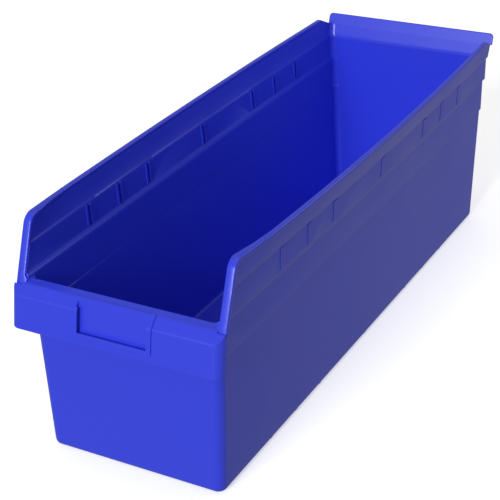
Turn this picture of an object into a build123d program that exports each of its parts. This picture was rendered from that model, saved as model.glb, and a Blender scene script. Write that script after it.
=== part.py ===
from build123d import *
from math import atan2, cos, radians, sin
import os

os.makedirs("parts", exist_ok=True)

# Hopper-front shelf bin, one polypropylene moulding. Its regions are cut apart face to face, in millimetres.
# X runs across the bin, Y from the front to the back, Z up. The origin is what the bin rests on, under the middle
# of its floor, so it lies on the middle cross rib.

# Overall size
LENGTH = 600.0  # front of the grip rail to the back of the rear flange
HEIGHT = 211.0  # cross ribs to top edge
WALL = 2.5
CORNER_RADIUS = 8.0  # outside, in plan
FLOOR_RADIUS = 6.0  # outside, where walls and floor meet

# Cross ribs under the floor, and the divider slots above them
RIB_DROP = 1.0
RIB_WIDTH = 9.0
RIB_END_GAP = 3.0  # short of the floor's outer face
GROOVE_WIDTH = 3.4  # the divider's own slot, in the floor and in the walls
GROOVE_DEPTH = 1.2
SLOT_RIB = 2.2  # each of the two small ribs that flank a slot
SLOT_MIDDLES = (-194.5, -147.0, -99.5, 0.0, 99.5, 147.0, 194.5)  # along the bin, from the middle of the floor

# Outer half widths of the side walls, at the ends of the bin
HALF_FLOOR = 82.9
HALF_UNDER_LOW = 87.6  # under the low joggle
HALF_UNDER_MIDDLE = 89.4
HALF_UNDER_HIGH = 92.1
HALF_TOP = 94.9
LOW_JOGGLE = 1.6  # outward steps, each over an equal height
MIDDLE_JOGGLE = 2.5
HIGH_JOGGLE = 1.5
LOW_JOGGLE_Z = 128.7
MIDDLE_JOGGLE_Z = 162.6
HIGH_JOGGLE_Z = 187.6

# Outward bow of the long walls halfway along, as moulded: left wall, right wall
BOW_LOW = (0.2, 0.8)
BOW_MIDDLE = (0.3, 3.4)
BOW_HIGH = (2.0, 4.6)
BOW_TOP = (3.8, 9.0)

# Front and back walls, measured from the front of the grip rail
FRONT_AT_FLOOR = 19.7
FRONT_AT_LIP = 18.2
BACK_AT_FLOOR = 590.3
BACK_AT_BEND = 592.4

# Grip rail: flat lip, sloped shoulder and hanging skirt, from the front of the skirt
LIP_INNER_Z = 161.2
LIP_FRONT = 13.0
LIP_FRONT_Z = 159.7
SHOULDER_FRONT = 5.0
SHOULDER_FRONT_Z = 152.0
SKIRT_BOTTOM_Z = 123.6
RAIL_HALF_WIDTH = 97.0
RAIL_WRAP = 12.0  # how far its ends run back
FOLD_RADIUS = 3.5  # outside, where shoulder meets skirt and lip

# Hopper mouth: the side walls' front edges, from the lip up
MOUTH_FOOT = 11.5
MOUTH_TOP = 30.5
MOUTH_TOP_RADIUS = 12.0
MOUTH_RETURN = 5.5  # what stays of the front wall beside the mouth

# Label holder on the skirt
HOLDER_HALF_WIDTH = 36.0
HOLDER_RIB = 4.0
HOLDER_BAR = 3.0
HOLDER_BOTTOM = 7.5  # above the skirt's bottom edge, along the skirt
HOLDER_PROUD = 1.0
HOLDER_DEPTH = 4.0  # label panel behind the skirt's face
HOLDER_LIP = 1.6  # thickness of the lips that hold the label
HOLDER_GROOVE = 1.6  # how far the label reaches behind them

# Rim beads along the side walls
RIM_WIDTH = 2.0
RIM_HEIGHT = 4.0
EDGE_RADIUS = 1.0

# Rear flange, which leans back and stops the bin as it is drawn out and tipped
BEND_Z = 186.0
SHELF_Z = 200.0
SHELF_BACK = 596.0
FLANGE_HALF_WIDTH = 95.0
FLANGE_CORNER = 4.0
NOTCH_RUN = 24.0  # slope of the side walls' top edge down to the flange
NOTCH_RADIUS = 4.0

FLOOR_Z = RIB_DROP
FRONT = -(FRONT_AT_FLOOR + BACK_AT_FLOOR) / 2
FLOOR_TOP = FLOOR_Z + WALL
SEAM_Z = FLOOR_Z + FLOOR_RADIUS
LIP_UNDER_Z = LIP_FRONT_Z - WALL
JOGGLE_LEVELS = {LOW_JOGGLE_Z, MIDDLE_JOGGLE_Z, HIGH_JOGGLE_Z}
JOGGLE_LEVELS |= {LOW_JOGGLE_Z + LOW_JOGGLE, MIDDLE_JOGGLE_Z + MIDDLE_JOGGLE, HIGH_JOGGLE_Z + HIGH_JOGGLE}
BEYOND = 40.0  # how far a cutting block runs past what it cuts
SEAM_MARGIN = CORNER_RADIUS + 3.0  # end walls stop this far inside the side walls' outer faces


def share(a, b, z, low, high):
    """Value at z of a straight taper from a at low to b at high."""
    return a + (b - a) * (z - low) / (high - low)


def front_face(z):
    """Outer face of the front wall, and above the lip that of the side walls' returns."""
    if z <= LIP_UNDER_Z:
        return FRONT + share(FRONT_AT_FLOOR, FRONT_AT_LIP, z, FLOOR_Z, LIP_UNDER_Z)
    return FRONT + share(MOUTH_FOOT, MOUTH_TOP, z, LIP_FRONT_Z, HEIGHT)


def back_face(z):
    """Outer face of the back wall, which leans back from the bend to the flange's top."""
    if z <= BEND_Z:
        return FRONT + share(BACK_AT_FLOOR, BACK_AT_BEND, z, FLOOR_Z, BEND_Z)
    if z <= SHELF_Z:
        return FRONT + share(BACK_AT_BEND, SHELF_BACK, z, BEND_Z, SHELF_Z)
    return FRONT + share(SHELF_BACK, LENGTH, z, SHELF_Z, HEIGHT)


def wall_levels():
    """Height, outer half width and bow of each level of the side walls, from the floor up."""
    low = (LOW_JOGGLE_Z, HALF_UNDER_LOW, LOW_JOGGLE, BOW_LOW)
    middle = (MIDDLE_JOGGLE_Z, HALF_UNDER_MIDDLE, MIDDLE_JOGGLE, BOW_MIDDLE)
    high = (HIGH_JOGGLE_Z, HALF_UNDER_HIGH, HIGH_JOGGLE, BOW_HIGH)
    straight = (0.0, 0.0)
    half_at_seam = share(HALF_FLOOR, HALF_UNDER_LOW, SEAM_Z, FLOOR_Z, LOW_JOGGLE_Z)
    levels = [(FLOOR_Z, HALF_FLOOR, straight), (SEAM_Z, half_at_seam, straight)]
    for z, half, step, bow in (low, middle, high):
        levels += [(z, half, bow), (z + step, half + step, bow)]
    levels.append((HEIGHT, HALF_TOP, BOW_TOP))
    return levels


def level_at(z):
    """Outer half width and bow at any height."""
    levels = wall_levels()
    for (z0, half0, bow0), (z1, half1, bow1) in zip(levels, levels[1:]):
        if z0 <= z <= z1:
            bow = tuple(share(a, b, z, z0, z1) for a, b in zip(bow0, bow1))
            return share(half0, half1, z, z0, z1), bow
    return levels[-1][1:]


def bow_out(bow, y, front, back):
    """How far a bowed wall stands out at y."""
    reach = 2 * (y - (front + back) / 2) / (back - front)
    return bow * (1 - reach**2)


def plan(z, half, bow, front, back, radius):
    """Closed outline of the walls at one height: straight ends, bowed sides and round corners."""
    middle = (front + back) / 2
    left, right = bow
    with BuildSketch(Plane.XY.offset(z)) as outline:
        with BuildLine():
            Line((-half, front), (half, front))
            if right:
                ThreePointArc((half, front), (half + right, middle), (half, back))
            else:
                Line((half, front), (half, back))
            Line((half, back), (-half, back))
            if left:
                ThreePointArc((-half, back), (-half - left, middle), (-half, front))
            else:
                Line((-half, back), (-half, front))
        make_face()
        fillet(outline.vertices(), radius)
    return outline.sketch


def outline_at(z, inset):
    """Outline of the walls' outer faces at level z, moved in by inset."""
    rise = inset * (2**0.5 - 1)  # keeps the joggles as thick as the walls
    half, bow = level_at(z)
    height = z + rise if z in JOGGLE_LEVELS else z
    height = FLOOR_Z + inset if z == FLOOR_Z else height
    return plan(height, half - inset, bow, front_face(z) + inset, back_face(z) - inset, CORNER_RADIUS - inset)


def tub_block(inset, top_round=0.0):
    """Solid inside the tub's outer faces, moved in by inset, with its top flared out by a quarter round."""
    levels = sorted(JOGGLE_LEVELS | {FLOOR_Z, SEAM_Z, LIP_UNDER_Z, LIP_FRONT_Z, BEND_Z, SHELF_Z})
    outlines = [outline_at(z, inset) for z in levels]
    for angle in (0, 30, 60, 90) if top_round else (90,):
        z = HEIGHT - top_round * (1 - sin(radians(angle)))
        outlines.append(outline_at(z, inset - top_round * (1 - cos(radians(angle)))))
    block = loft(outlines, ruled=True)
    floor_edges = block.faces().sort_by(Axis.Z)[0].edges()
    return fillet(floor_edges, FLOOR_RADIUS - inset)


def spans(x0, x1, y0, y1, z0, z1):
    """Box between two corners."""
    return Pos((x0 + x1) / 2, (y0 + y1) / 2, (z0 + z1) / 2) * Box(x1 - x0, y1 - y0, z1 - z0)


def between_corners(margin, y0, y1, z0, z1):
    """Block between the side walls, margin in from their outer faces."""
    low = share(HALF_FLOOR, HALF_TOP, z0, FLOOR_Z, HEIGHT) - margin
    high = share(HALF_FLOOR, HALF_TOP, z1, FLOOR_Z, HEIGHT) - margin
    section = Polygon((-low, z0), (low, z0), (high, z1), (-high, z1), align=None)
    return Pos(0, y0, 0) * extrude(Plane.XZ * section, -(y1 - y0))


def side_profile():
    """What the side walls keep, seen from the side: the leaning mouth and the notch before the flange."""
    foot = share(MOUTH_FOOT, MOUTH_TOP, LIP_UNDER_Z, LIP_FRONT_Z, HEIGHT)
    notch_end = SHELF_BACK - WALL
    outline = Polygon(
        (FRONT - BEYOND, -BEYOND),
        (FRONT - BEYOND, LIP_UNDER_Z),
        (FRONT + foot, LIP_UNDER_Z),
        (FRONT + MOUTH_TOP, HEIGHT),
        (FRONT + notch_end - NOTCH_RUN, HEIGHT),
        (FRONT + notch_end, SHELF_Z),
        (FRONT + LENGTH + BEYOND, SHELF_Z),
        (FRONT + LENGTH + BEYOND, -BEYOND),
        align=None,
    )
    top = outline.vertices().group_by(Axis.Y)[-1].sort_by(Axis.X)
    outline = fillet(top[0], MOUTH_TOP_RADIUS)
    outline = fillet(outline.vertices().group_by(Axis.Y)[-1].sort_by(Axis.X)[-1], NOTCH_RADIUS)
    return extrude(Plane.YZ * outline, RAIL_HALF_WIDTH + BEYOND, both=True)


def slot_blocks(width, inner, outer, offset=0.0):
    """One block at each slot in both side walls, from inner to outer, both measured out from the walls' outer face."""
    low = MIDDLE_JOGGLE_Z + MIDDLE_JOGGLE + WALL
    high = HIGH_JOGGLE_Z - GROOVE_DEPTH
    blocks = []
    for middle in SLOT_MIDDLES:
        y = middle + offset
        for side, wall in ((-1, 0), (1, 1)):
            points = []
            for z, out in ((low, inner), (low, outer), (high, outer), (high, inner)):
                half, bow = level_at(z)
                face = half + bow_out(bow[wall], y, front_face(z), back_face(z))
                points.append((side * (face + out), z))
            section = Plane.XZ.offset(-(y - width / 2)) * Polygon(*points, align=None)
            blocks.append(extrude(section, width, dir=(0, 1, 0)))
    return blocks


def with_slots(walls):
    """Side walls with their divider slots: a groove between two small ribs, and a ridge outside."""
    rib_offset = (GROOVE_WIDTH + SLOT_RIB) / 2
    raised = []
    for offset in (-rib_offset, rib_offset):
        raised += slot_blocks(SLOT_RIB, -WALL - GROOVE_DEPTH, -WALL / 2, offset)
    raised += slot_blocks(GROOVE_WIDTH + 2 * SLOT_RIB, -WALL / 2, GROOVE_DEPTH)
    return walls + raised - slot_blocks(GROOVE_WIDTH, -WALL - GROOVE_DEPTH, GROOVE_DEPTH - WALL)


def rail_block(inset):
    """Solid behind the grip rail's outer faces, moved in by inset and closed well below and behind."""
    lean = SHOULDER_FRONT / (SHOULDER_FRONT_Z - SKIRT_BOTTOM_Z)
    lip_rise = (LIP_INNER_Z - LIP_FRONT_Z) / (FRONT_AT_LIP + WALL - LIP_FRONT)
    section = Polygon(
        (FRONT - BEYOND * lean, SKIRT_BOTTOM_Z - BEYOND),
        (FRONT + SHOULDER_FRONT, SHOULDER_FRONT_Z),
        (FRONT + LIP_FRONT, LIP_FRONT_Z),
        (FRONT + LIP_FRONT + BEYOND, LIP_FRONT_Z + BEYOND * lip_rise),
        (FRONT + LIP_FRONT + BEYOND, SKIRT_BOTTOM_Z - BEYOND),
        align=None,
    )
    section = offset(section, -inset, kind=Kind.INTERSECTION) if inset else section
    folds = section.vertices().sort_by(Axis.X)[1:3]
    section = fillet(folds, FOLD_RADIUS - inset)
    width = RAIL_HALF_WIDTH - inset
    across = extrude(Plane.YZ * section, width, both=True)
    depth = LIP_FRONT + 2 * BEYOND
    corners = Pos(0, inset + depth / 2) * RectangleRounded(2 * width, depth, CORNER_RADIUS - inset)
    angle = atan2(SHOULDER_FRONT, SHOULDER_FRONT_Z - SKIRT_BOTTOM_Z)
    skirt = Plane((0, FRONT, SKIRT_BOTTOM_Z), x_dir=(1, 0, 0), z_dir=(0, sin(angle), cos(angle)))
    return across & extrude(skirt * corners, 2 * BEYOND, both=True)


def holder_block(x, bottom, front, back):
    """Block across the skirt's face: half width x, from bottom up the skirt, front and back from its face."""
    angle = atan2(SHOULDER_FRONT, SHOULDER_FRONT_Z - SKIRT_BOTTOM_Z)
    face = Plane((0, FRONT, SKIRT_BOTTOM_Z), x_dir=(1, 0, 0), z_dir=(0, -cos(angle), sin(angle)))
    top = SHOULDER_FRONT_Z - SKIRT_BOTTOM_Z + BEYOND
    sketch = Polygon((-x, bottom), (x, bottom), (x, top), (-x, top), align=None)
    return extrude(face.offset(-back) * sketch, front + back)


def label_holder():
    """Tray let into the skirt, open at the top, with lips at its sides and foot for a slide-in label."""
    inner = HOLDER_HALF_WIDTH - HOLDER_RIB
    tray = holder_block(HOLDER_HALF_WIDTH, HOLDER_BOTTOM, HOLDER_PROUD, HOLDER_DEPTH + WALL)
    window = holder_block(inner, HOLDER_BOTTOM + HOLDER_BAR, HOLDER_PROUD, HOLDER_DEPTH)
    behind_lips = HOLDER_LIP - HOLDER_PROUD
    pocket_bottom = HOLDER_BOTTOM + HOLDER_BAR - HOLDER_GROOVE
    pocket = holder_block(inner + HOLDER_GROOVE, pocket_bottom, -behind_lips, HOLDER_DEPTH)
    return (tray - window - pocket) & rail_block(-HOLDER_PROUD)


def grip_rail():
    """Lip, sloped shoulder and skirt across the front, wrapped round both front corners."""
    half, _ = level_at(LIP_FRONT_Z)
    rear = FRONT + FRONT_AT_LIP + WALL
    shell = rail_block(0) - rail_block(WALL)
    shell &= spans(-RAIL_HALF_WIDTH, RAIL_HALF_WIDTH, FRONT - BEYOND, rear, SKIRT_BOTTOM_Z, HEIGHT)
    for side in (-1, 1):
        x0, x1 = sorted((side * half, side * (half + BEYOND)))
        shell -= spans(x0, x1, FRONT + RAIL_WRAP, rear, SKIRT_BOTTOM_Z - BEYOND, HEIGHT)
    shell = fillet(shell.edges().group_by(Axis.Z)[0], EDGE_RADIUS)
    return shell - holder_block(HOLDER_HALF_WIDTH, HOLDER_BOTTOM, HOLDER_PROUD, HOLDER_DEPTH + WALL)


def rear_flange(root):
    """Full-width plate above the back wall's bend, fused with the bend itself."""
    section = Polygon(
        (FRONT + SHELF_BACK - WALL, SHELF_Z),
        (FRONT + SHELF_BACK, SHELF_Z),
        (FRONT + LENGTH, HEIGHT),
        (FRONT + LENGTH - WALL, HEIGHT),
        align=None,
    )
    plate = extrude(Plane.YZ * section, FLANGE_HALF_WIDTH, both=True)
    plate = fillet(plate.edges().filter_by(Axis.Y).group_by(Axis.Z)[-1], FLANGE_CORNER)
    plate = fillet(plate.edges().filter_by(Axis.X).group_by(Axis.Z)[-1], EDGE_RADIUS)
    return plate + root


def rims(outside, profile):
    """Beads along the outside of both side walls' top edges."""
    outlines = []
    for z in (HEIGHT - RIM_HEIGHT, HEIGHT):
        half, bow = level_at(z)
        radius = CORNER_RADIUS + RIM_WIDTH
        outlines.append(plan(z, half + RIM_WIDTH, bow, front_face(z) - RIM_WIDTH, back_face(z) + RIM_WIDTH, radius))
    block = loft(outlines, ruled=True)
    block = fillet(block.edges().group_by(Axis.Z)[0] + block.edges().group_by(Axis.Z)[-1], EDGE_RADIUS)
    ring = (block - outside) & profile
    return ring - between_corners(MOUTH_RETURN, FRONT - BEYOND, FRONT + LENGTH + BEYOND, 0, HEIGHT)


def cross_rib(y, outside):
    """Rib under the floor, below one divider slot, ending short of the side walls."""
    half = HALF_FLOOR - RIB_END_GAP
    block = spans(-half, half, y - RIB_WIDTH / 2, y + RIB_WIDTH / 2, 0, SEAM_Z)
    block = fillet(block.edges().filter_by(Axis.Z), RIB_END_GAP)
    return block - outside


def half_of(shape, side):
    """The part of a shape on one side of the middle: -1 left, 1 right."""
    x0, x1 = sorted((0, side * (RAIL_HALF_WIDTH + BEYOND)))
    return shape & spans(x0, x1, FRONT - BEYOND, FRONT + LENGTH + BEYOND, -BEYOND, HEIGHT + BEYOND)


def build():
    """Every region of the moulding, by name."""
    y0, y1 = FRONT - BEYOND, FRONT + LENGTH + BEYOND
    reach = RAIL_HALF_WIDTH + BEYOND
    outside = tub_block(0)
    tub = outside - tub_block(WALL, EDGE_RADIUS)
    rail = grip_rail()
    profile = side_profile()

    parts = {}
    floor = tub & spans(-reach, reach, y0, y1, FLOOR_Z, SEAM_Z)
    half = HALF_FLOOR - FLOOR_RADIUS
    for y in SLOT_MIDDLES:
        floor -= spans(-half, half, y - GROOVE_WIDTH / 2, y + GROOVE_WIDTH / 2, FLOOR_TOP - GROOVE_DEPTH, SEAM_Z)
    parts["floor"] = floor
    for number, y in enumerate(SLOT_MIDDLES, 1):
        parts[f"cross_rib_{number}"] = cross_rib(y, outside)

    parts["front_wall"] = (tub & between_corners(SEAM_MARGIN, y0, 0, SEAM_Z, LIP_UNDER_Z)) - rail
    parts["back_wall"] = tub & between_corners(SEAM_MARGIN, 0, y1, SEAM_Z, BEND_Z)
    bend = tub & between_corners(SEAM_MARGIN, 0, y1, BEND_Z, SHELF_Z)
    parts["rear_flange"] = rear_flange(bend)
    parts["grip_rail"] = rail
    parts["label_holder"] = label_holder()

    walls = tub & spans(-reach, reach, y0, y1, SEAM_Z, HEIGHT)
    walls = (walls - between_corners(SEAM_MARGIN, y0, y1, 0, HEIGHT)) & profile
    walls -= between_corners(MOUTH_RETURN, y0, 0, LIP_UNDER_Z, HEIGHT)
    walls = with_slots(walls - rail)
    rim_ring = rims(outside, profile)
    for name, side in (("left", -1), ("right", 1)):
        parts[f"{name}_wall"] = half_of(walls, side)
        parts[f"{name}_rim"] = half_of(rim_ring, side)
    return parts


if __name__ == "__main__":
    for name, shape in build().items():
        export_step(shape, f"parts/{name}.step")
        size = shape.bounding_box().size
        print(f"{name}: {len(shape.solids())} solid, {size.X:.1f} x {size.Y:.1f} x {size.Z:.1f}, valid {shape.is_valid}")
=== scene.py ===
"""Hopper-front shelf bin in blue polypropylene, seen from above its front right corner in a white studio."""

import itertools
import logging
import math
from dataclasses import dataclass
from enum import Enum

import bpy
from mathutils import Matrix, Vector

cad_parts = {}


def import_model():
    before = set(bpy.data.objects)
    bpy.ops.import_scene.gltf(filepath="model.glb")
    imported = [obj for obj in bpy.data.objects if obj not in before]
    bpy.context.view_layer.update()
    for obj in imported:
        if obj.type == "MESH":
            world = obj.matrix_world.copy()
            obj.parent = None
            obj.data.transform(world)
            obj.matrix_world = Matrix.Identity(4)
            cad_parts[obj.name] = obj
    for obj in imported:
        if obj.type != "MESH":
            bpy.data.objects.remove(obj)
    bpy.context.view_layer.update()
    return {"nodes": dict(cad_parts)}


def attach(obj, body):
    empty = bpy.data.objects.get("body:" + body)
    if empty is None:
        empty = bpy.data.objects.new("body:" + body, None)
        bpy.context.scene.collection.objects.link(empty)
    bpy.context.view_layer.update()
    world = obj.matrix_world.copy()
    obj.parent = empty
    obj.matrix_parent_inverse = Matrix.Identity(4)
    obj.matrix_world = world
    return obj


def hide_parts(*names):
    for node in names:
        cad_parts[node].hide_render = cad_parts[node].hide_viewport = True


BODY = "root"
FINISH = "blue_polypropylene"
PHOTO_SIDE = 500.0  # pixels, both ways
SENSOR = 36.0  # mm, across the picture
MERGE_REACH = 0.00001  # metres, within which two points are one
WHITE = (1.0, 1.0, 1.0, 1.0)


class Side(Enum):
    """The bin's two long sides, seen from the front, each with the way it faces across the bin."""

    LEFT = -1
    RIGHT = 1

    @property
    def word(self) -> str:
        """The side's name in the names of pieces and regions."""
        return self.name.lower()


def hand_over(piece: bpy.types.Object, replaced: str | None = None) -> None:
    """Fixes a finished piece to the bin and hides the frame's region that it stands for, if there is one.

    Args:
        piece: The new piece.
        replaced: The frame's region that it stands for, if there is one.
    """
    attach(piece, BODY)
    if replaced:
        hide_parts(replaced)


def pick_alone(piece: bpy.types.Object) -> None:
    """Selects one object and makes it the active one.

    Args:
        piece: The object.
    """
    bpy.ops.object.select_all(action="DESELECT")
    bpy.context.view_layer.objects.active = piece
    piece.select_set(True)


def cut_off(point: Vector, outward: Vector) -> None:
    """Cuts off what lies beyond a plane and closes the cut, on the whole of the mesh in edit mode.

    Args:
        point: A point on the plane.
        outward: The direction that points to what goes.
    """
    bpy.ops.mesh.select_all(action="SELECT")
    bpy.ops.mesh.bisect(plane_co=point, plane_no=outward, use_fill=True, clear_outer=True)


@dataclass(frozen=True)
class MouldedPlastic:
    """Blue polypropylene: its colour, its gloss and the faint ripple that the tool leaves on it."""

    colour: tuple[float, float, float] = (0.028, 0.048, 0.700)
    roughness: float = 0.32
    refraction: float = 1.49
    sheen_level: float = 0.50
    skin: float = 0.20
    skin_roughness: float = 0.10
    ripple_size: float = 0.0016
    ripple_detail: float = 1.0
    ripple_height: float = 0.00002
    flow_size: float = 0.060
    flow_detail: float = 2.0
    flow_spread: float = 0.06

    def build(self) -> bpy.types.Material:
        """Makes the material.

        Returns:
            A material whose patterns read Object coordinates, in metres.
        """
        material = bpy.data.materials.new(FINISH)
        material.use_nodes = True
        nodes, links = material.node_tree.nodes, material.node_tree.links
        shader = nodes["Principled BSDF"]
        shader.inputs["Base Color"].default_value = (*self.colour, 1.0)
        shader.inputs["IOR"].default_value = self.refraction
        shader.inputs["Specular IOR Level"].default_value = self.sheen_level
        shader.inputs["Coat Weight"].default_value = self.skin
        shader.inputs["Coat Roughness"].default_value = self.skin_roughness
        place = nodes.new("ShaderNodeTexCoord")

        flow = nodes.new("ShaderNodeTexNoise")
        flow.inputs["Scale"].default_value = 1.0 / self.flow_size
        flow.inputs["Detail"].default_value = self.flow_detail
        links.new(place.outputs["Object"], flow.inputs["Vector"])
        gloss = nodes.new("ShaderNodeMapRange")
        gloss.inputs["To Min"].default_value = self.roughness - self.flow_spread
        gloss.inputs["To Max"].default_value = self.roughness + self.flow_spread
        links.new(flow.outputs["Fac"], gloss.inputs["Value"])
        links.new(gloss.outputs["Result"], shader.inputs["Roughness"])

        ripple = nodes.new("ShaderNodeTexNoise")
        ripple.inputs["Scale"].default_value = 1.0 / self.ripple_size
        ripple.inputs["Detail"].default_value = self.ripple_detail
        links.new(place.outputs["Object"], ripple.inputs["Vector"])
        bump = nodes.new("ShaderNodeBump")
        bump.inputs["Distance"].default_value = self.ripple_height
        bump.inputs["Strength"].default_value = 1.0
        links.new(ripple.outputs["Fac"], bump.inputs["Height"])
        links.new(bump.outputs["Normal"], shader.inputs["Normal"])
        return material


@dataclass
class Moulding:
    """The bin itself: one moulding whose regions keep the frame's shapes and take the plastic's finish."""

    plastic: bpy.types.Material

    def dress(self, regions: dict[str, bpy.types.Object]) -> list[str]:
        """Gives every region its finish.

        Args:
            regions: The frame's regions, by name.

        Returns:
            The names of the regions dressed.
        """
        for region in regions.values():
            for slot in region.material_slots:
                slot.material = self.plastic
        return sorted(regions)


@dataclass(frozen=True)
class Mouth:
    """The hopper mouth, seen from the side: a line that leans back from the lip to the top, in metres."""

    foot: tuple[float, float] = (-0.2908, 0.1597)  # along the bin, and up
    crown: tuple[float, float] = (-0.2718, 0.2110)
    corner_radius: float = 0.012

    def lean(self) -> float:
        """Returns the angle between the mouth and the upright, in radians."""
        return math.atan2(self.crown[0] - self.foot[0], self.crown[1] - self.foot[1])

    def corner_turn(self) -> float:
        """Returns the angle that the top corner turns through, in radians."""
        return math.pi / 2 - self.lean()

    def at(self, height: float) -> Vector:
        """Returns the mouth's point at a height, in the middle of the bin."""
        return Vector((0.0, self.foot[0] + (height - self.foot[1]) * math.tan(self.lean()), height))

    def rise(self) -> Vector:
        """Returns the direction that runs up the mouth."""
        return Vector((0.0, math.sin(self.lean()), math.cos(self.lean())))

    def inward(self) -> Vector:
        """Returns the direction that points from the mouth into the bin."""
        return Vector((0.0, math.cos(self.lean()), -math.sin(self.lean())))

    def corner_run(self) -> float:
        """Returns how far the top corner's arc reaches along each of its two straight neighbours."""
        return self.corner_radius * math.tan(self.corner_turn() / 2)


@dataclass
class MouthEdge:
    """One side's open edge: the strip up the mouth, its round corner and the bead along the bowed top."""

    side: Side
    bow: float  # how far the middle of the top edge stands out
    mouth: Mouth = Mouth()
    depth: float = 0.004
    outer: float = 0.0965
    strip_width: float = 0.0075
    foot_width: float = 0.0097
    foot_height: float = 0.1460
    step_height: float = 0.1622
    flare_height: float = 0.1651
    corner_steps: int = 8
    bead_width: float = 0.0048
    bow_reach: float = 0.2900  # from the middle of the bin to where the bow starts
    taper_run: float = 0.030
    bead_end: float = 0.2760
    bead_steps: int = 24
    notch_top: float = 0.2645
    notch_fall: tuple[float, float] = (0.024, -0.011)  # along the bin, and up
    softness: float = 0.0011
    soft_steps: int = 3
    soft_angle: float = math.radians(40.0)
    smooth_angle: float = math.radians(35.0)

    def outer_at(self, along: float) -> float:
        """Returns the bead's outer edge at a place along the bin."""
        return self.outer + self.bow * (1.0 - (along / self.bow_reach) ** 2)

    def start_section(self) -> bpy.types.Object:
        """Adds the strip's lowest section, square to the mouth.

        Returns:
            The flat section, as an object.
        """
        bpy.ops.object.select_all(action="DESELECT")
        middle = self.mouth.at(self.foot_height) + self.mouth.inward() * self.depth / 2
        middle.x = self.side.value * (self.outer - self.foot_width / 2)
        bpy.ops.mesh.primitive_plane_add(size=1.0, location=middle, rotation=(-self.mouth.lean(), 0.0, 0.0))
        section = bpy.context.object
        section.name = f"{self.side.word}_edge"
        section.scale = (self.foot_width, self.depth, 1.0)
        bpy.ops.object.transform_apply(location=True, rotation=True, scale=True)
        return section

    def draw_on(self, move: Vector) -> None:
        """Extrudes the selected section by a move."""
        bpy.ops.mesh.extrude_region_move(TRANSFORM_OT_translate={"value": move})

    def widen(self, factor: float, outer: float) -> None:
        """Stretches the selected section across the bin, away from its outer edge."""
        pivot = (self.side.value * outer, 0.0, 0.0)
        bpy.ops.transform.resize(value=(factor, 1.0, 1.0), center_override=pivot)

    def climb_mouth(self) -> None:
        """Draws the section up the mouth, from its wide foot to where the corner starts."""
        rise = self.mouth.rise()
        self.draw_on(rise * ((self.step_height - self.foot_height) / rise.z))
        self.draw_on(rise * ((self.flare_height - self.step_height) / rise.z))
        self.widen(self.strip_width / self.foot_width, self.outer)
        self.draw_on(rise * ((self.mouth.crown[1] - self.flare_height) / rise.z - self.mouth.corner_run()))

    def turn_corner(self) -> None:
        """Spins the section round the mouth's top corner."""
        start = self.mouth.at(self.mouth.crown[1] - self.mouth.corner_run() * math.cos(self.mouth.lean()))
        middle = start + self.mouth.inward() * self.mouth.corner_radius
        bpy.ops.mesh.spin(steps=self.corner_steps, angle=self.mouth.corner_turn(), center=middle,
                          axis=(1.0, 0.0, 0.0))

    def run_along_top(self) -> None:
        """Draws the section back along the top edge, out and in again with the wall's bow."""
        start = self.mouth.crown[0] + self.mouth.corner_run()
        step = (self.bead_end - start) / self.bead_steps
        along = start
        outer, width = self.outer, self.strip_width
        for _ in range(self.bead_steps):
            along += step
            share = min(1.0, (along - start) / self.taper_run)
            next_outer = outer + (self.outer_at(along) - outer) * share
            next_width = self.strip_width * (1.0 - share) + self.bead_width * share
            self.draw_on(Vector((self.side.value * (next_outer - outer), step, 0.0)))
            self.widen(next_width / width, next_outer)
            outer, width = next_outer, next_width

    def end_on_notch(self) -> None:
        """Cuts the bead off along the slope that falls to the rear flange."""
        fall = Vector((0.0, *self.notch_fall)).normalized()
        cut_off(Vector((0.0, self.notch_top, self.mouth.crown[1])), Vector((0.0, -fall.z, fall.y)))

    def soften(self, edge: bpy.types.Object) -> None:
        """Rounds the sharp edges and smooths the shading.

        Args:
            edge: The piece, out of edit mode.
        """
        soft = edge.modifiers.new("soft_edges", "BEVEL")
        soft.width = self.softness
        soft.segments = self.soft_steps
        soft.limit_method = "ANGLE"
        soft.angle_limit = self.soft_angle
        bpy.ops.object.modifier_apply(modifier=soft.name)
        bpy.ops.object.shade_smooth_by_angle(angle=self.smooth_angle)

    def build(self, plastic: bpy.types.Material) -> bpy.types.Object:
        """Models the strip, the corner and the bead as one piece, in place of the frame's rim.

        Args:
            plastic: The finish.

        Returns:
            The new piece.
        """
        edge = self.start_section()
        bpy.ops.object.mode_set(mode="EDIT")
        bpy.ops.mesh.select_all(action="SELECT")
        self.climb_mouth()
        self.turn_corner()
        self.run_along_top()
        bpy.ops.mesh.select_all(action="SELECT")
        bpy.ops.mesh.remove_doubles(threshold=MERGE_REACH)
        self.end_on_notch()
        bpy.ops.mesh.select_all(action="SELECT")
        bpy.ops.mesh.normals_make_consistent(inside=False)
        bpy.ops.object.mode_set(mode="OBJECT")
        self.soften(edge)
        edge.data.materials.append(plastic)
        hand_over(edge, f"{self.side.word}_rim")
        return edge


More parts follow.
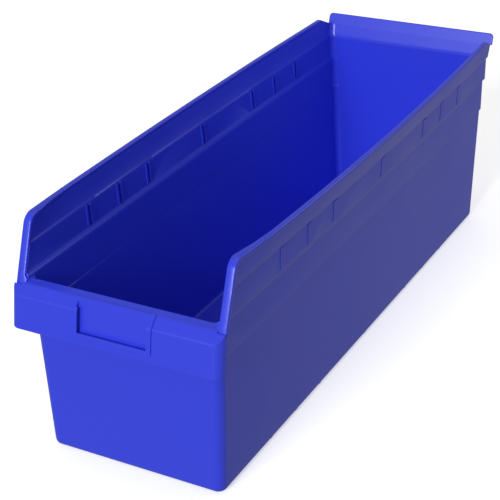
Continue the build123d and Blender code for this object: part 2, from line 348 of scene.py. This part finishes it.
@dataclass
class TrimmedWall:
    """One side wall, cut back behind the mouth's strip and under the bead, with fainter slot ribs outside."""

    side: Side
    mouth: Mouth = Mouth()
    gap: float = 0.002  # behind the face of the strip
    top: float = 0.2092
    slots: tuple[float, ...] = (-0.1945, -0.1470, -0.0995, 0.0, 0.0995, 0.1470, 0.1945)
    slot_reach: float = 0.0050
    lower_ends: tuple[float, float] = (0.1660, 0.1770)  # the slot ribs' ends lie between these heights
    upper_ends: tuple[float, float] = (0.1770, 0.1872)
    rib_band: float = 0.0009  # less than the ribs stand out
    rib_press: float = 0.0009
    smooth_angle: float = math.radians(15.0)

    def copy_region(self, region: bpy.types.Object) -> bpy.types.Object:
        """Copies the frame's wall, so that the copy's own mesh can be changed.

        Args:
            region: The frame's wall on this side.

        Returns:
            The free copy.
        """
        wall = region.copy()
        wall.data = region.data.copy()
        wall.name = f"{self.side.word}_side"
        wall.parent = None
        for mark in list(wall.keys()):
            del wall[mark]
        bpy.context.scene.collection.objects.link(wall)
        return wall

    def press_ribs(self, wall: bpy.types.Object) -> None:
        """Presses the divider slots' outside ribs back until they stand out only faintly.

        Args:
            wall: The copy, in edit mode.
        """
        for middle, (low, high) in itertools.product(self.slots, (self.lower_ends, self.upper_ends)):
            bpy.ops.mesh.select_all(action="DESELECT")
            bpy.ops.object.mode_set(mode="OBJECT")
            near = [point for point in wall.data.vertices
                    if abs(point.co.y - middle) < self.slot_reach and low < point.co.z < high]
            crest = max(self.side.value * point.co.x for point in near)
            for point in near:
                point.select = self.side.value * point.co.x > crest - self.rib_band
            bpy.ops.object.mode_set(mode="EDIT")
            bpy.ops.transform.translate(value=(-self.side.value * self.rib_press, 0.0, 0.0))

    def even_shading(self, wall: bpy.types.Object) -> None:
        """Smooths the bowed faces and lets the large ones set the shading.

        Args:
            wall: The copy, out of edit mode.
        """
        bpy.ops.object.shade_smooth_by_angle(angle=self.smooth_angle)
        even = wall.modifiers.new("even_shading", "WEIGHTED_NORMAL")
        even.keep_sharp = True
        bpy.ops.object.modifier_apply(modifier=even.name)

    def build(self, region: bpy.types.Object) -> bpy.types.Object:
        """Trims a copy of the frame's wall, in the wall's place.

        Args:
            region: The frame's wall on this side.

        Returns:
            The new piece.
        """
        wall = self.copy_region(region)
        pick_alone(wall)
        bpy.ops.object.mode_set(mode="EDIT")
        bpy.ops.mesh.select_all(action="SELECT")
        bpy.ops.mesh.remove_doubles(threshold=MERGE_REACH)
        self.press_ribs(wall)
        cut_off(Vector((0.0, *self.mouth.foot)) + self.mouth.inward() * self.gap, -self.mouth.inward())
        cut_off(Vector((0.0, 0.0, self.top)), Vector((0.0, 0.0, 1.0)))
        bpy.ops.object.mode_set(mode="OBJECT")
        self.even_shading(wall)
        hand_over(wall, region.name)
        return wall


@dataclass
class LipCorner:
    """Web that rounds one inner corner of the opening, where the front lip meets a side wall."""

    side: Side
    wall_inner: float = 0.0880
    lip_inner: float = -0.2850
    radius: float = 0.0120
    arc_steps: int = 64  # in a full turn
    overlap: float = 0.0010
    underside: float = 0.1588
    top: float = 0.1612
    softness: float = 0.0006
    soft_steps: int = 2
    smooth_angle: float = math.radians(35.0)

    def add_plate(self) -> bpy.types.Object:
        """Adds the square plate that fills the corner, sunk a little into the lip and the wall.

        Returns:
            The plate.
        """
        reach = self.radius + self.overlap
        across = self.side.value * (self.wall_inner + self.overlap - reach / 2)
        along = self.lip_inner - self.overlap + reach / 2
        bpy.ops.mesh.primitive_cube_add(size=1.0, location=(across, along, (self.top + self.underside) / 2))
        plate = bpy.context.object
        plate.name = f"{self.side.word}_lip_corner"
        plate.scale = (reach, reach, self.top - self.underside)
        bpy.ops.object.transform_apply(location=True, rotation=True, scale=True)
        return plate

    def add_bite(self) -> bpy.types.Object:
        """Adds the drum that the opening's round corner is cut with.

        Returns:
            The drum, which goes again once it has cut.
        """
        across = self.side.value * (self.wall_inner - self.radius)
        middle = (across, self.lip_inner + self.radius, (self.top + self.underside) / 2)
        bpy.ops.mesh.primitive_cylinder_add(vertices=self.arc_steps, radius=self.radius, depth=self.radius,
                                            location=middle)
        return bpy.context.object

    def build(self, plastic: bpy.types.Material) -> bpy.types.Object:
        """Cuts a round bite out of the plate and softens its edges.

        Args:
            plastic: The finish.

        Returns:
            The new piece.
        """
        bpy.ops.object.select_all(action="DESELECT")
        web = self.add_plate()
        bite = self.add_bite()
        cut = web.modifiers.new("bite", "BOOLEAN")
        cut.operation = "DIFFERENCE"
        cut.object = bite
        soft = web.modifiers.new("soft_edges", "BEVEL")
        soft.width = self.softness
        soft.segments = self.soft_steps
        pick_alone(web)
        bpy.ops.object.modifier_apply(modifier=cut.name)
        bpy.ops.object.modifier_apply(modifier=soft.name)
        bpy.data.objects.remove(bite)
        bpy.ops.object.shade_smooth_by_angle(angle=self.smooth_angle)
        web.data.materials.clear()
        web.data.materials.append(plastic)
        hand_over(web)
        return web


@dataclass(frozen=True)
class SoftBox:
    """A square soft light that faces the bin."""

    name: str
    place: tuple[float, float, float]
    width: float
    power: float  # watts

    def hang(self) -> None:
        """Hangs the light in its place and turns it to the bin."""
        lamp = bpy.data.lights.new(self.name, "AREA")
        lamp.energy = self.power
        lamp.size = self.width
        light = bpy.data.objects.new(self.name, lamp)
        bpy.context.scene.collection.objects.link(light)
        light.location = self.place
        light.rotation_euler = (-Vector(self.place)).to_track_quat("-Z", "Y").to_euler()


@dataclass
class Studio:
    """White floor and soft lights of a product photograph."""

    floor_reach: float = 30.0
    floor_grey: float = 0.9
    floor_roughness: float = 0.9
    floor_glow: float = 0.50
    sky: float = 0.30
    lights: tuple[SoftBox, ...] = (
        SoftBox("front_light", (-0.1, -6.8, 2.8), 2.6, 335.0),
        SoftBox("top_light", (0.0, 0.5, 7.0), 5.0, 70.0),
        SoftBox("side_light", (0.9, 0.8, 0.5), 0.5, 1.5),
        SoftBox("spark_light", (0.6, -6.6, 3.0), 0.2, 60.0),
    )

    def build(self) -> None:
        """Lays the floor, lights the sky and hangs the soft boxes."""
        self.lay_floor()
        self.light_sky()
        for light in self.lights:
            light.hang()

    def lay_floor(self) -> None:
        """Adds the flat white floor that the bin stands on, which sends no light back to it."""
        bpy.ops.object.select_all(action="DESELECT")
        bpy.ops.mesh.primitive_plane_add(size=2 * self.floor_reach, location=(0, 0, 0))
        floor = bpy.context.object
        floor.name = "studio_floor"
        paper = bpy.data.materials.new("white_paper")
        paper.use_nodes = True
        shader = paper.node_tree.nodes["Principled BSDF"]
        shader.inputs["Base Color"].default_value = (self.floor_grey, self.floor_grey, self.floor_grey, 1.0)
        shader.inputs["Roughness"].default_value = self.floor_roughness
        shader.inputs["Emission Color"].default_value = WHITE
        shader.inputs["Emission Strength"].default_value = self.floor_glow
        floor.data.materials.append(paper)
        floor.visible_diffuse = False
        floor.visible_glossy = False

    def light_sky(self) -> None:
        """Lights the scene evenly from all round."""
        world = bpy.data.worlds.new("studio_air")
        bpy.context.scene.world = world
        world.use_nodes = True
        air = world.node_tree.nodes["Background"]
        air.inputs["Color"].default_value = WHITE
        air.inputs["Strength"].default_value = self.sky


@dataclass
class PhotoCamera:
    """Camera where the photographer stood: to the right of the front, looking down."""

    place: tuple[float, float, float] = (0.54304, -1.05171, 0.68227)
    turn: float = 0.5088  # radians, to the left of straight ahead
    dip: float = 0.4755
    roll: float = -0.0336
    focal: float = 1382.0  # pixels of the photograph
    sight: float = 100.0  # how far it sees

    def stance(self) -> Matrix:
        """Works out how the camera is turned.

        Returns:
            The directions of its right, its top and its back, as columns.
        """
        ahead = Vector((-math.sin(self.turn) * math.cos(self.dip), math.cos(self.turn) * math.cos(self.dip),
                        -math.sin(self.dip)))
        level = Vector((math.cos(self.turn), math.sin(self.turn), 0.0))
        upward = level.cross(ahead)
        right = math.cos(self.roll) * level + math.sin(self.roll) * upward
        above = math.cos(self.roll) * upward - math.sin(self.roll) * level
        return Matrix((right, above, -ahead)).transposed()

    def build(self) -> None:
        """Adds the camera and makes it the scene's own."""
        lens = bpy.data.cameras.new("photo_camera")
        lens.sensor_width = SENSOR
        lens.lens = self.focal / PHOTO_SIDE * SENSOR
        lens.clip_end = self.sight
        camera = bpy.data.objects.new("photo_camera", lens)
        bpy.context.scene.collection.objects.link(camera)
        camera.rotation_euler = self.stance().to_euler()
        camera.location = self.place
        bpy.context.scene.camera = camera


def set_picture() -> None:
    """Shows colours as they are lit, with no film curve."""
    view = bpy.context.scene.view_settings
    view.view_transform = "Standard"
    view.look = "None"


def main() -> None:
    """Builds the scene around the frame."""
    logging.basicConfig(level=logging.INFO, format="%(message)s")
    log = logging.getLogger("shelf_bin")
    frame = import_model()
    regions = frame["nodes"]
    plastic = MouldedPlastic().build()
    for name in Moulding(plastic).dress(regions):
        log.info("region %s", name)
    for side, bow in ((Side.LEFT, 0.0038), (Side.RIGHT, 0.0090)):
        wall = TrimmedWall(side).build(regions[f"{side.word}_wall"])
        edge = MouthEdge(side, bow).build(plastic)
        web = LipCorner(side).build(plastic)
        for piece in (wall, edge, web):
            log.info("piece %s", piece.name)
    Studio().build()
    PhotoCamera().build()
    set_picture()


if __name__ == "__main__":
    main()
